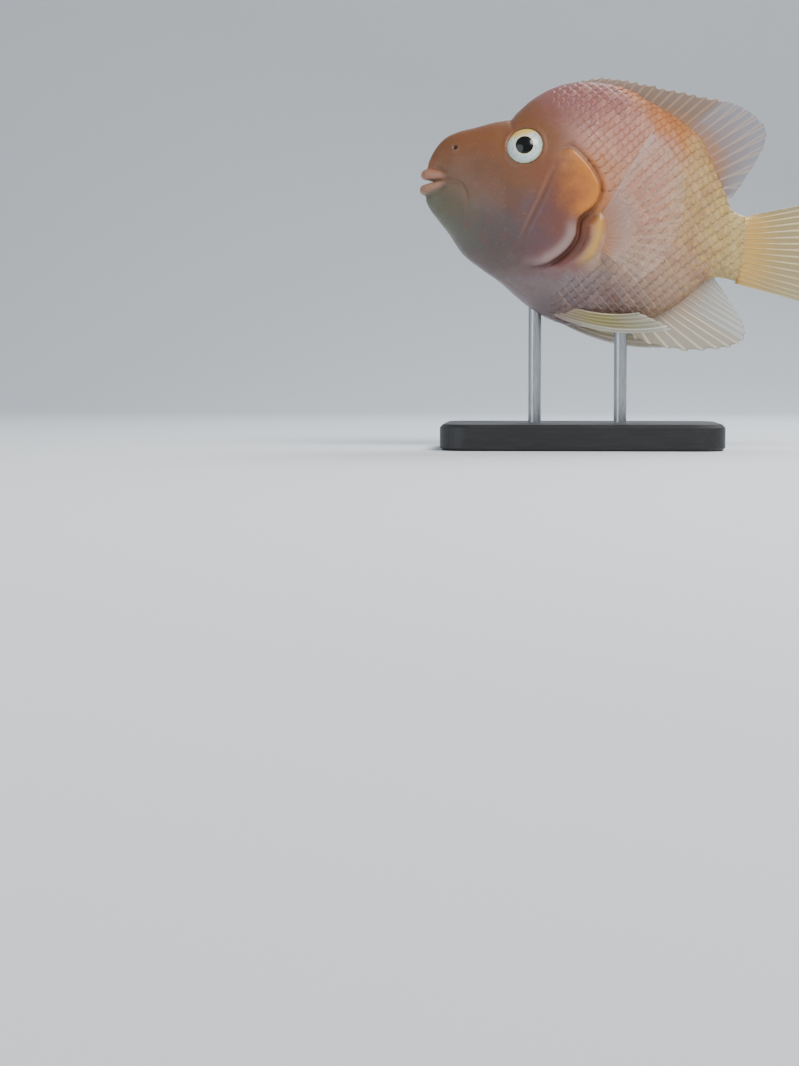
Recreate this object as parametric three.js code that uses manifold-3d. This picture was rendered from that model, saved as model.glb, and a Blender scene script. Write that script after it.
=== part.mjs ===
// A blood parrot cichlid, life size, swimming slightly head up with its fins half spread,
// held over a flat base by two short rods, as a museum shows a fish. All sizes in millimetres.
//
// The fish is modelled in its own frame inside a tilted group: x runs from the snout (0) to the
// tail, y is 0 on its midline and negative on its left, z is the height above the mouth.
// The part's own frame has its origin at the middle of the base's underside.
import * as THREE from "three";
import { mergeVertices } from "three/addons/utils/BufferGeometryUtils.js";
import Module from "manifold-3d";

const wasm = await Module();
wasm.setup();

// Driving dimensions
const GAP = 0.3; // between nodes that touch
const NOSE_UP = THREE.MathUtils.degToRad(5);
const BEND_FROM = 70; // the tail bends away to the fish's right behind this point
const BEND = 0.0009; // sideways shift for each squared millimetre behind it
const LEFT = -1;
const RIGHT = 1;

const BASE_LONG = 130;
const BASE_WIDE = 90;
const BASE_HIGH = 12;
const BASE_CORNER = 14;
const BASE_EDGE = 1.5; // bevel
const BELLY_CLEARANCE = 45; // from the base's top to the lowest point of the belly
const LOWEST_BELLY = [77, 0, -62];
const STAND_UNDER = 74; // how far behind the snout the middle of the base is
const ROD_RADIUS = 3;
const ROD_LONG = 70; // before the belly trims it
const ROD_SIDES = 24;
const ROD_FRONT_X = -22;
const ROD_REAR_X = 18;

const EYE_X = 45.5;
const EYE_Z = 17.8;
const EYE_RADIUS = 9.2;
const EYE_HALF_DEEP = 6.5;
const EYE_SUNK = 3; // its middle lies this far under the skin
const EYE_RIM_RADIUS = 9.1;
const EYE_RIM_THICK = 1;
const EYE_RIM_OUT = 0.2;
const EYE_SIDES = 22;

const NOSTRIL_X = 13.1;
const NOSTRIL_Z = 15.5;
const NOSTRIL_RADIUS = 1.1;

const MOUTH_CORNER = 10.2; // behind the snout
const MOUTH_CORNER_Z = 0.4;
const MOUTH_Z = -1.3;
const MOUTH_DEEP = 6;
const MOUTH_HALF_WIDE = 7;
const MOUTH_HALF_HIGH = 1.2;
const LIP_RADIUS = 2.1;
const LIP_PROUD = 1.1; // ahead of the snout
const UPPER_LIP_Z = 1.7;
const LOWER_LIP_Z = -4.3;

const COVER_PROUD = 0.8; // the gill cover stands out from the cheek
const COVER_THICK = 2.6;
const OPENING_DEEP = 3.8; // the gill opening behind the cover
const SHOULDER_RADIUS = 2.3; // the bony ridge behind the gill opening
const SHOULDER_SUNK = 1.2;

const WIDER_THAN_FISH = 60; // half the width of the cutters that pass through the body

// Side-view outlines and lines, [behind the snout, above the mouth]
const COVER_EDGE = [
  [60.3, 14.1], [66.5, 17.8], [73.5, 12.9], [79.2, 6], [81.5, 0], [79.4, -7.2], [73.2, -13.6],
  [72, -22.8], [66.8, -30.4], [58, -36], [45.5, -35.3], [48.5, -23], [54, -8], [58.5, 5],
];
const OPENING_EDGE = [
  [77.5, 8], [83.2, 1], [82.4, -6.5], [80.2, -10.5], [80.6, -18], [79, -26], [74, -33],
  [62, -38.5], [50, -40], [52, -36], [64, -33], [70, -24], [71, -14], [76, -6],
];
const HEAD_LINE = [
  [30, 54], [38.5, 33], [50, 26], [66, 21], [77, 13], [82.3, 3], [81.2, -7], [76.5, -14],
  [75, -23], [69, -32], [58, -39], [47, -47], [38, -60],
];
const JAW_LINE = [
  [-12, -1.3], [2, -1.2], [10.7, 0.2], [17.9, -1.7], [21.3, -8.8], [21.2, -18.9], [17.2, -31.3],
  [13, -50],
];
const STALK_LINE = [[141, 30], [142.5, -17], [141, -60]];
const SHOULDER_LINE = [
  [78.8, -6.5], [82.1, -11.3], [82.7, -18.2], [81.5, -25.2], [78.2, -31], [72.5, -35],
];

// Fins. rays: how many. rows: rows of faces along each. base and tips: side-view lines that the
// rays run between, the base inside the body. ray and web: thickness of the rays and of the
// membrane between them, each at the base and at the edge. notch: how far the membrane stops
// short of the ray tips.
const DORSAL = {
  rays: 27,
  rows: 3,
  base: [[59, 45], [77, 46.5], [95, 42], [112, 34.5], [124, 26], [131.5, 15], [137, 3]],
  tips: [
    [63, 51.8], [77, 53.8], [92, 53.4], [108, 51.2], [126, 49], [145, 46], [157, 33], [146.5, 3],
  ],
  ray: [1.4, 0.8],
  web: [0.7, 0.5],
  notch: 1.1,
};
const ANAL = {
  rays: 16,
  rows: 3,
  base: [[98, -55], [108, -51], [118, -45.5], [127, -38], [134.5, -29]],
  tips: [
    [105, -66], [125, -69.2], [144, -67], [155, -62.8], [155, -55], [150, -47.5], [143.5, -39.5],
  ],
  ray: [1.4, 0.8],
  web: [0.7, 0.5],
  notch: 1.1,
};
const TAIL = {
  rays: 16,
  rows: 4,
  base: [[149, -4.8], [149, -20.5], [149, -35.6]],
  tips: [
    [186, 6.5], [194.5, 1], [198.5, -9], [199.5, -18.5], [198.5, -29], [194.5, -38.5], [186, -42],
  ],
  ray: [1.7, 0.8],
  web: [0.9, 0.5],
  notch: 0.8,
};
const PECTORAL = {
  rays: 14,
  rows: 4,
  base: [[82.5, -13.5], [84.5, -20], [84.4, -26.3]],
  tips: [[102, 26], [114, 15], [119.5, 0], [118, -18], [112, -32], [102, -41]],
  ray: [1.3, 0.7],
  web: [0.7, 0.5],
  notch: 0.8,
};
const PECTORAL_ROOT = [84, -20];
const PECTORAL_SUNK = 3; // the root under the skin
const PECTORAL_OUT = 30; // how fast the fin spreads sideways from the root
const PECTORAL_CURL = 7; // and how much it curls back in by the tips

const PELVIC = {
  rays: 6,
  rows: 4,
  base: [[63, -56.5], [70, -52.5]],
  tips: [[120.6, -59.5], [114, -56.5], [105, -53.5]],
  ray: [1.5, 0.8],
  web: [0.8, 0.5],
  notch: 1,
};
const PELVIC_ROOT_OUT = [7, 13.5]; // from the midline, first ray and last
const PELVIC_TIP_OUT = [10, 18];
const PELVIC_LIFT = 12; // bows the fin outwards round the belly
const PELVIC_BOW = 5; // and downwards
const RIGHT_PELVIC_DROOP = 8; // the right one hangs lower than the left
const FIN_WAVE = 1.2; // how far the edges of the fins on the midline wander sideways
const FIN_WAVES = 9;
const RAY_COLUMNS = [0, 0.2, 0.8]; // a ray's crest, its foot, and the next one's foot

// Solids and surfaces

// A three.js plane's grid, with each corner moved to pointAt(u, v).
function surface(columns, rows, pointAt) {
  const plane = new THREE.PlaneGeometry(1, 1, columns, rows);
  const place = plane.attributes.position;
  const uv = plane.attributes.uv;
  for (let i = 0; i < place.count; i++) {
    const p = pointAt(uv.getX(i), uv.getY(i));
    place.setXYZ(i, p.x, p.y, p.z);
  }
  return plane;
}

// The closed solid of a geometry, turned right side out.
function solid(geometry) {
  const bare = geometry.index ? geometry.toNonIndexed() : geometry.clone();
  bare.deleteAttribute("normal");
  bare.deleteAttribute("uv");
  const merged = mergeVertices(bare, 1e-4);
  const vertices = merged.attributes.position.array;
  const corner = (i) => new THREE.Vector3().fromArray(vertices, 3 * i);
  const triangles = [];
  let volume = 0;
  for (let i = 0; i < merged.index.count; i += 3) {
    const [a, b, c] = merged.index.array.slice(i, i + 3);
    if (a === b || b === c || c === a) continue;
    triangles.push(a, b, c);
    volume += corner(a).dot(corner(b).cross(corner(c)));
  }
  if (volume < 0) triangles.reverse();
  return new wasm.Manifold(
    new wasm.Mesh({
      numProp: 3,
      vertProperties: vertices,
      triVerts: new Uint32Array(triangles),
    }),
  );
}

// The largest closed surface of a solid, without loose scraps or sealed hollows.
function largest(body) {
  const parts = body.decompose();
  return parts.reduce((a, b) => (b.volume() > a.volume() ? b : a));
}

function mesh(name, body, material) {
  const found = largest(body).getMesh();
  const geometry = new THREE.BufferGeometry();
  geometry.setAttribute("position", new THREE.BufferAttribute(found.vertProperties, 3));
  geometry.setIndex(new THREE.BufferAttribute(found.triVerts, 1));
  geometry.computeVertexNormals();
  const made = new THREE.Mesh(geometry, material);
  made.name = name;
  return made;
}

// A shape drawn in the fish's side view (x, z), extruded sideways from one y to another.
function prism(shape, from, to) {
  const made = new THREE.ExtrudeGeometry(shape, { depth: to - from, bevelEnabled: false });
  made.rotateX(Math.PI / 2);
  made.translate(0, to, 0);
  return solid(made);
}

const through = (shape) => prism(shape, -WIDER_THAN_FISH, WIDER_THAN_FISH);

// A smooth closed outline through side-view points, moved outwards by grow.
function outline(points, grow = 0, steps = 40) {
  const curve = new THREE.SplineCurve([...points, points[0]].map((p) => new THREE.Vector2(...p)));
  const around = [];
  for (let i = 0; i < steps; i++) {
    const way = curve.getTangent(i / steps);
    around.push(curve.getPoint(i / steps).add(new THREE.Vector2(-way.y, way.x).multiplyScalar(grow)));
  }
  return new THREE.Shape(around);
}

// Parts the whole body along a smooth side-view line: the region on the corners' side of it,
// and a thin wall along it that leaves the gap.
function parting(points, corners, steps = 24) {
  const curve = new THREE.SplineCurve(points.map((p) => new THREE.Vector2(...p)));
  const line = curve.getPoints(steps);
  const ahead = [];
  const behind = [];
  line.forEach((at, i) => {
    const way = curve.getTangent(i / steps);
    const side = new THREE.Vector2(-way.y, way.x).multiplyScalar(GAP / 2);
    ahead.push(at.clone().add(side));
    behind.unshift(at.clone().sub(side));
  });
  return {
    region: through(new THREE.Shape([...line, ...corners.map((p) => new THREE.Vector2(...p))])),
    wall: through(new THREE.Shape([...ahead, ...behind])),
  };
}

// A round bar of the given radius through points, so many steps long.
function bar(points, radius, steps) {
  const section = new THREE.Shape().absarc(0, 0, radius, 0, 2 * Math.PI);
  const extrudePath = new THREE.CatmullRomCurve3(points);
  const settings = { steps, extrudePath, curveSegments: 4, bevelEnabled: false };
  return solid(new THREE.ExtrudeGeometry(section, settings));
}

// The body

const bend = (x) => BEND * Math.max(0, x - BEND_FROM) ** 2;

// Sections of the body. at: distance behind the snout. top, bottom, waist: heights of the back,
// the belly and the widest line. half: half the width there. back and belly: how fast the
// section narrows towards each, where 1 is an ellipse and more is a sharper keel.
const SECTION = (at, top, bottom, waist, half, back, belly) => {
  return { at, top, bottom, waist, half, back, belly };
};
const SECTIONS = [
  SECTION(-0.6, -1.4, -1.6, -1.5, 0.1, 1, 1), // tip of the snout
  SECTION(0.2, 4.8, -6.6, -1.5, 3.4, 0.9, 0.9), // lips
  SECTION(3.0, 13.2, -12.6, -1.5, 5.6, 0.9, 0.9),
  SECTION(7.5, 19.6, -17.8, -2, 8.0, 0.85, 0.9), // corner of the mouth
  SECTION(13.5, 23.2, -24.2, -3, 11.8, 0.8, 0.9), // nostrils
  SECTION(21, 25.8, -33.2, -5, 15.8, 0.8, 0.95),
  SECTION(30, 28.9, -39.2, -7, 19.4, 0.8, 1),
  SECTION(37, 31.0, -43.2, -8, 21.6, 0.85, 1), // nape notch, above the front of the eye
  SECTION(41.5, 35.6, -46.2, -8.5, 22.8, 0.95, 1),
  SECTION(47, 41.2, -50.4, -9, 24.0, 1.05, 1), // behind the eye
  SECTION(55, 46.6, -55.7, -10, 25.6, 1.15, 1),
  SECTION(65, 50.4, -60.2, -11, 27.0, 1.2, 1),
  SECTION(77, 51.5, -62.0, -11, 27.4, 1.25, 1), // deepest point
  SECTION(90, 49.6, -61.4, -11, 25.8, 1.25, 1),
  SECTION(103, 43.6, -58.6, -11, 22.4, 1.2, 1),
  SECTION(115, 37.6, -52.9, -12, 18.4, 1.15, 1),
  SECTION(125, 30.8, -45.4, -13, 14.6, 1.1, 1),
  SECTION(133, 18.8, -37.4, -15, 11.2, 1, 1),
  SECTION(139.5, 6.6, -33.6, -17, 8.8, 0.95, 0.95), // end of the dorsal and anal fins
  SECTION(144, -1.6, -34.0, -19, 7.2, 0.9, 0.9), // tail stalk
  SECTION(150, -3.4, -35.8, -20, 5.4, 0.85, 0.85),
  SECTION(154, -4.2, -37.2, -20.5, 3.6, 0.8, 0.8), // root of the tail fin
  SECTION(155, -20, -21, -20.5, 0.1, 1, 1),
];

// The section at t, counted in sections from the snout, by a Catmull-Rom spline.
function sectionAt(t) {
  const last = SECTIONS.length - 1;
  const i = Math.min(Math.floor(t), last - 1);
  const f = t - i;
  const near = [i - 1, i, i + 1, i + 2].map((k) => SECTIONS[Math.min(Math.max(k, 0), last)]);
  const found = {};
  for (const key of Object.keys(SECTIONS[0])) {
    const [a, b, c, d] = near.map((s) => s[key]);
    found[key] =
      b + 0.5 * f * (c - a + f * (2 * a - 5 * b + 4 * c - d + f * (3 * (b - c) + d - a)));
  }
  return found;
}

// Where along the sections the body is at distance x behind the snout.
function sectionBehind(x) {
  let low = 0;
  let high = SECTIONS.length - 1;
  for (let i = 0; i < 30; i++) {
    const middle = (low + high) / 2;
    if (sectionAt(middle).at < x) low = middle;
    else high = middle;
  }
  return sectionAt(low);
}

// Soft swellings and hollows of the sides: [x, z, length, height, outwards].
const SWELLINGS = [
  [34, -14, 15, 16, 1.3], // cheek
  [24, 10, 9, 8, -0.7], // hollow before the eye
  [61, 30, 12, 10, 0.8], // shoulder above the gill cover
  [92, -34, 22, 16, 0.8], // belly
];

function swelling(x, z) {
  return SWELLINGS.reduce(
    (sum, [atX, atZ, long, high, out]) =>
      sum + out * Math.exp(-(((x - atX) / long) ** 2) - ((z - atZ) / high) ** 2),
    0,
  );
}

// Half the body's width at a side-view point, from the midline to the skin.
function halfWidth(x, z) {
  const s = sectionBehind(x);
  const above = z > s.waist;
  const reach = above ? s.top - s.waist : s.waist - s.bottom;
  const rise = Math.min(Math.abs(z - s.waist) / reach, 1);
  return s.half * Math.sqrt(1 - rise * rise) ** (above ? s.back : s.belly) + swelling(x, z);
}

// A point on the skin of one side at a side-view point, outwards by a distance.
function onSkin(x, z, side, out = 0) {
  return new THREE.Vector3(x, bend(x) + side * (halfWidth(x, z) + out), z);
}

const AROUND = 32;
const RINGS_A_SECTION = 2;

// The whole body as a solid, its skin moved outwards by grow.
function wholeBody(grow) {
  const made = surface(AROUND, RINGS_A_SECTION * (SECTIONS.length - 1), (u, v) => {
    const angle = 2 * Math.PI * (u % 1);
    const s = sectionAt(v * (SECTIONS.length - 1));
    if (v === 0 || v === 1) return new THREE.Vector3(s.at, bend(s.at), s.waist);
    const up = Math.cos(angle);
    const aside = u === 0.5 ? 0 : Math.sin(angle);
    const z = s.waist + up * (up > 0 ? s.top - s.waist : s.waist - s.bottom);
    const out = Math.abs(aside);
    const wide = s.half * out ** (up > 0 ? s.back : s.belly) + swelling(s.at, z) * out;
    return new THREE.Vector3(s.at, bend(s.at) - Math.sign(aside) * wide, z);
  });
  const closed = made.toNonIndexed();
  closed.deleteAttribute("normal");
  closed.deleteAttribute("uv");
  const merged = mergeVertices(closed, 1e-4);
  merged.computeVertexNormals();
  const { position, normal } = merged.attributes;
  for (let i = 0; i < position.count; i++) {
    position.setXYZ(
      i,
      position.getX(i) + grow * normal.getX(i),
      position.getY(i) + grow * normal.getY(i),
      position.getZ(i) + grow * normal.getZ(i),
    );
  }
  return solid(merged);
}

const body = wholeBody(0);
const clearOfBody = wholeBody(GAP);

// Which way the skin faces at a side-view point.
function skinFacing(x, z, side) {
  const here = onSkin(x, z, side);
  const along = onSkin(x + 1, z, side).sub(here);
  const up = onSkin(x, z + 1, side).sub(here);
  return along.cross(up).multiplyScalar(-side).normalize();
}

// A solid of revolution made round the y axis, turned to face outwards and put on the skin.
function onHead(geometry, x, z, side, out) {
  const facing = skinFacing(x, z, side);
  const turn = new THREE.Quaternion().setFromUnitVectors(new THREE.Vector3(0, 1, 0), facing);
  const at = onSkin(x, z, side).addScaledVector(facing, out);
  geometry.applyQuaternion(turn);
  geometry.translate(at.x, at.y, at.z);
  return solid(geometry);
}

const bothSides = (make) => make(LEFT).add(make(RIGHT));

// Gill covers: plates let into the sides of the head, each with a seat under it
const covers = through(outline(COVER_EDGE))
  .intersect(wholeBody(COVER_PROUD))
  .subtract(wholeBody(-COVER_THICK));
const coverSeats = through(outline(COVER_EDGE, GAP)).subtract(wholeBody(-COVER_THICK - GAP));
const openings = through(outline(OPENING_EDGE)).subtract(wholeBody(-OPENING_DEEP));
const gillCover = (side) => covers.decompose().find((plate) => {
  const { min, max } = plate.boundingBox();
  return side * (min[1] + max[1]) > 0;
});

// Eyes
const eyeball = (side, grow) => {
  const ball = new THREE.SphereGeometry(1, EYE_SIDES, EYE_SIDES / 2);
  ball.scale(EYE_RADIUS + grow, EYE_HALF_DEEP + grow, EYE_RADIUS + grow);
  return onHead(ball, EYE_X, EYE_Z, side, -EYE_SUNK);
};
const eyeRim = (side) => {
  const ring = new THREE.TorusGeometry(EYE_RIM_RADIUS, EYE_RIM_THICK, 6, EYE_SIDES);
  ring.rotateX(Math.PI / 2);
  return onHead(ring, EYE_X, EYE_Z, side, EYE_RIM_OUT);
};
const nostril = (side) => {
  return onHead(new THREE.SphereGeometry(NOSTRIL_RADIUS, 8, 6), NOSTRIL_X, NOSTRIL_Z, side, 0);
};

// Mouth: each lip is a bar from corner to corner, sunk deeper into the skin towards the corners
const lip = (middleZ) => {
  const along = (side) => [0, 0.45, 0.85].map((t) => {
    const x = MOUTH_CORNER * (1 - 0.9 * t);
    return onSkin(x, THREE.MathUtils.lerp(MOUTH_CORNER_Z, middleZ, t), side, (t / 2 - 1) * LIP_RADIUS);
  });
  const middle = new THREE.Vector3(LIP_RADIUS - LIP_PROUD, 0, middleZ);
  return bar([...along(LEFT), middle, ...along(RIGHT).reverse()], LIP_RADIUS, 16);
};
const mouthBall = new THREE.SphereGeometry(1, 20, 10);
mouthBall.scale(MOUTH_DEEP, MOUTH_HALF_WIDE, MOUTH_HALF_HIGH);
mouthBall.translate(0, 0, MOUTH_Z);
const mouth = solid(mouthBall);

// Head, lower jaw, trunk and tail stalk, parted from the whole body
const headLine = parting(HEAD_LINE, [[-30, -90], [-30, 90]]);
const jawLine = parting(JAW_LINE, [[-30, -60], [-30, -1.3]]);
const stalkLine = parting(STALK_LINE, [[220, -60], [220, 40]]);

const skull = body
  .add(bothSides(eyeRim))
  .intersect(headLine.region)
  .subtract(headLine.wall)
  .subtract(coverSeats)
  .subtract(openings)
  .subtract(bothSides((side) => eyeball(side, GAP)))
  .subtract(bothSides(nostril));
const head = skull
  .add(lip(UPPER_LIP_Z))
  .subtract(jawLine.region)
  .subtract(jawLine.wall)
  .subtract(mouth);
const lowerJaw = skull
  .add(lip(LOWER_LIP_Z))
  .intersect(jawLine.region)
  .subtract(jawLine.wall)
  .subtract(mouth);

const shoulderRidge = (side) =>
  bar(SHOULDER_LINE.map(([x, z]) => onSkin(x, z, side, -SHOULDER_SUNK)), SHOULDER_RADIUS, 12);
const rump = body.subtract(headLine.region).subtract(headLine.wall);
const trunk = rump
  .subtract(stalkLine.region)
  .subtract(stalkLine.wall)
  .subtract(openings)
  .add(bothSides(shoulderRidge))
  .subtract(coverSeats);
const tailStalk = rump.intersect(stalkLine.region).subtract(stalkLine.wall);

// Fins

// A fin as one closed sheet, its rays raised as ridges on both faces. placed(x, z, u, v) puts a
// side-view point in space, where u runs over the rays and v from the base to the tips.
function fin({ rays, rows, base, tips, ray, web, notch, placed }) {
  const baseLine = new THREE.SplineCurve(base.map((p) => new THREE.Vector2(...p)));
  const tipLine = new THREE.SplineCurve(tips.map((p) => new THREE.Vector2(...p)));
  const columns = RAY_COLUMNS.length * (rays - 1);
  const onRay = (column) => column % RAY_COLUMNS.length === 0;
  const middle = surface(columns, rows, (u, v) => {
    const column = Math.round(u * columns);
    const across = RAY_COLUMNS[column % RAY_COLUMNS.length];
    const along = (Math.floor(column / RAY_COLUMNS.length) + across) / (rays - 1);
    const from = baseLine.getPointAt(along);
    const way = tipLine.getPoint(along).sub(from);
    const reach = onRay(column) ? v : v * (1 - notch / way.length());
    const at = from.addScaledVector(way, reach);
    return placed(at.x, at.y, along, reach);
  });
  middle.computeVertexNormals();
  const { position, normal, uv } = middle.attributes;
  const count = position.count;
  const places = [];
  for (const face of [1, -1]) {
    for (let i = 0; i < count; i++) {
      const [root, edge] = onRay(i % (columns + 1)) ? ray : web;
      const out = (face * THREE.MathUtils.lerp(root, edge, uv.getY(i))) / 2;
      places.push(position.getX(i) + out * normal.getX(i));
      places.push(position.getY(i) + out * normal.getY(i));
      places.push(position.getZ(i) + out * normal.getZ(i));
    }
  }
  const front = Array.from(middle.index.array);
  const back = front.map((i) => i + count).reverse();
  const rim = [];
  for (let row = 0; row < rows; row++) rim.push(row * (columns + 1));
  for (let column = 0; column < columns; column++) rim.push(rows * (columns + 1) + column);
  for (let row = rows; row > 0; row--) rim.push(row * (columns + 1) + columns);
  for (let column = columns; column > 0; column--) rim.push(column);
  const edge = rim.flatMap((p, i) => {
    const q = rim[(i + 1) % rim.length];
    return [q, p, p + count, q, p + count, q + count];
  });
  const made = new THREE.BufferGeometry();
  made.setAttribute("position", new THREE.Float32BufferAttribute(places, 3));
  made.setIndex([...front, ...back, ...edge]);
  return solid(made).subtract(clearOfBody);
}

const onMidline = (x, z, u, v) => {
  const wander = FIN_WAVE * v * v * Math.sin(FIN_WAVES * u);
  return new THREE.Vector3(x, bend(x) + wander, z);
};

const pectoralFin = (side) => {
  const root = onSkin(...PECTORAL_ROOT, side, -PECTORAL_SUNK);
  return fin({
    ...PECTORAL,
    placed: (x, z, u, v) => {
      const out = PECTORAL_OUT * v - PECTORAL_CURL * v * v;
      return new THREE.Vector3(x, root.y + side * out, z);
    },
  });
};

const pelvicFin = (side, droop) => {
  return fin({
    ...PELVIC,
    placed: (x, z, u, v) => {
      const root = THREE.MathUtils.lerp(...PELVIC_ROOT_OUT, u);
      const tip = THREE.MathUtils.lerp(...PELVIC_TIP_OUT, u);
      const out = THREE.MathUtils.lerp(root, tip, v) + PELVIC_LIFT * v * (1 - v);
      const hang = (4 * PELVIC_BOW * v * (1 - v) + droop * (0.1 + 0.9 * v)) * (1 - u / 2);
      return new THREE.Vector3(x, side * out, z - hang);
    },
  });
};

// Materials
const paint = (color, roughness) => {
  return new THREE.MeshStandardMaterial({ color, roughness, metalness: 0 });
};
const SKIN = paint(0xe08a4a, 0.35);
const COVER = paint(0xeb9632, 0.35);
const FLANK = paint(0xdd966f, 0.4);
const JAW = paint(0xc8ac74, 0.35);
const STALK = paint(0xd7a555, 0.4);
const EYE = paint(0x15110f, 0.1);
const RAYS = paint(0xc7a878, 0.45);
const CLEAR_FIN = paint(0xd8c8b4, 0.4);
const STAND = paint(0x1c1c1e, 0.5);
const ROD = new THREE.MeshStandardMaterial({ color: 0xb8babd, roughness: 0.3, metalness: 1 });

// The fish, tilted nose up and lifted over the base
const fish = new THREE.Group();
fish.name = "fish";
fish.rotation.y = NOSE_UP;
const lowest = new THREE.Vector3(...LOWEST_BELLY).applyEuler(fish.rotation).z;
fish.position.set(-STAND_UNDER * Math.cos(NOSE_UP), 0, BASE_HIGH + BELLY_CLEARANCE - lowest);
fish.updateMatrix();
fish.add(
  mesh("head", head, SKIN),
  mesh("lower_jaw", lowerJaw, JAW),
  mesh("gill_cover_left", gillCover(LEFT), COVER),
  mesh("gill_cover_right", gillCover(RIGHT), COVER),
  mesh("eye_left", eyeball(LEFT, 0), EYE),
  mesh("eye_right", eyeball(RIGHT, 0), EYE),
  mesh("trunk", trunk, FLANK),
  mesh("tail_stalk", tailStalk, STALK),
  mesh("dorsal_fin", fin({ ...DORSAL, placed: onMidline }), RAYS),
  mesh("anal_fin", fin({ ...ANAL, placed: onMidline }), RAYS),
  mesh("tail_fin", fin({ ...TAIL, placed: onMidline }), RAYS),
  mesh("pectoral_fin_left", pectoralFin(LEFT), CLEAR_FIN),
  mesh("pectoral_fin_right", pectoralFin(RIGHT), CLEAR_FIN),
  mesh("pelvic_fin_left", pelvicFin(LEFT, 0), CLEAR_FIN),
  mesh("pelvic_fin_right", pelvicFin(RIGHT, RIGHT_PELVIC_DROOP), CLEAR_FIN),
);

// Stand
const plate = new THREE.Shape();
for (let corner = 0; corner < 4; corner++) {
  const x = (corner < 2 ? 1 : -1) * (BASE_LONG / 2 - BASE_CORNER);
  const y = (corner % 3 ? 1 : -1) * (BASE_WIDE / 2 - BASE_CORNER);
  plate.absarc(x, y, BASE_CORNER, ((corner - 1) * Math.PI) / 2, (corner * Math.PI) / 2);
}
const plateSolid = new THREE.ExtrudeGeometry(plate, {
  depth: BASE_HIGH - 2 * BASE_EDGE,
  bevelThickness: BASE_EDGE,
  bevelSize: BASE_EDGE,
  bevelOffset: -BASE_EDGE,
  bevelSegments: 1,
  curveSegments: 6,
});
plateSolid.translate(0, 0, BASE_EDGE);

const clearOfFish = clearOfBody.transform(fish.matrix.toArray());
const rod = (x) => {
  const shaft = new THREE.CylinderGeometry(ROD_RADIUS, ROD_RADIUS, ROD_LONG, ROD_SIDES);
  shaft.rotateX(Math.PI / 2);
  shaft.translate(x, 0, BASE_HIGH + GAP + ROD_LONG / 2);
  return solid(shaft).subtract(clearOfFish);
};

const model = new THREE.Group();
model.name = "blood_parrot_cichlid";
model.add(
  fish,
  mesh("stand_base", solid(plateSolid), STAND),
  mesh("stand_rod_front", rod(ROD_FRONT_X), ROD),
  mesh("stand_rod_rear", rod(ROD_REAR_X), ROD),
);

export default model;
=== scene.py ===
import math
import random

import bmesh
import bpy
import numpy as np
from mathutils import Matrix, Vector


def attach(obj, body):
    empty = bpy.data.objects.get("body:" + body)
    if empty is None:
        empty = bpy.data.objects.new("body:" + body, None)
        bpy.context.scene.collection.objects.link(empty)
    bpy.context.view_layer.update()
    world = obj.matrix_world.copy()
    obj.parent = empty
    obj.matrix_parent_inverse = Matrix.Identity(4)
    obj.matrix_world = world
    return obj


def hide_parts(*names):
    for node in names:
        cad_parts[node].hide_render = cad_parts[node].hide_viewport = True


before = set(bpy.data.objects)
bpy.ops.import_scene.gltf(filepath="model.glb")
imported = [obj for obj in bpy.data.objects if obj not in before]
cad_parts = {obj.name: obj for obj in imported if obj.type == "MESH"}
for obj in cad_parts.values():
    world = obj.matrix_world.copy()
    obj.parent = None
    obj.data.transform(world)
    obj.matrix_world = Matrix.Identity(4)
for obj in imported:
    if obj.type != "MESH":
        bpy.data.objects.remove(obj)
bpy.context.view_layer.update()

random.seed(7)

# Camera
# It looks square at the fish's left side from 1.1 m and a little below, and the fish is in
# the upper right of the frame with the end of its tail cut off.

FISH_MIDDLE = Vector((0.0, 0.0, 0.113))
CAMERA_FROM_FISH = 1.1
CAMERA_ROUND = math.radians(-0.6)
CAMERA_UP = math.radians(-4)
FRAME_HEIGHT = 0.5101
RIGHT_OF_CENTRE = 0.0865
ABOVE_CENTRE = 0.1545

towards_camera = Vector((
    math.sin(CAMERA_ROUND) * math.cos(CAMERA_UP),
    -math.cos(CAMERA_ROUND) * math.cos(CAMERA_UP),
    math.sin(CAMERA_UP),
))
seen_right = towards_camera.cross(Vector((0, 0, -1))).normalized()
seen_up = towards_camera.cross(seen_right)
aim = FISH_MIDDLE - RIGHT_OF_CENTRE * seen_right - ABOVE_CENTRE * seen_up
camera_at = FISH_MIDDLE + CAMERA_FROM_FISH * towards_camera


def looking(at, towards):
    """Where a camera or lamp is when it stands at one point and faces another."""
    turn = (towards - at).to_track_quat("-Z", "Y")
    return Matrix.Translation(at) @ turn.to_matrix().to_4x4()


lens = bpy.data.cameras.new("camera")
lens.sensor_width = 36
lens.lens = lens.sensor_width * (aim - camera_at).length / FRAME_HEIGHT
lens.clip_start = 0.01
camera = bpy.data.objects.new("camera", lens)
camera.matrix_world = looking(camera_at, aim)
bpy.context.collection.objects.link(camera)
bpy.context.scene.camera = camera

# Floor and light
# A pale sheet that runs under the stand and curves up behind it, lit by three large soft
# lamps and a pale room.

SHEET_HALF_WIDE = 3.0
SHEET_FRONT = -2.5
SHEET_BACK = 0.9
SHEET_CURVE = 0.7
SHEET_HIGH = 2.5


def material_of(name):
    made = bpy.data.materials.new(name)
    made.use_nodes = True
    shader = made.node_tree.nodes["Principled BSDF"]
    return made, shader


def add_piece(name, bm, material):
    mesh = bpy.data.meshes.new(name)
    bm.to_mesh(mesh)
    bm.free()
    mesh.materials.append(material)
    piece = bpy.data.objects.new(name, mesh)
    bpy.context.collection.objects.link(piece)
    for face in mesh.polygons:
        face.use_smooth = True
    return piece


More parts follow.
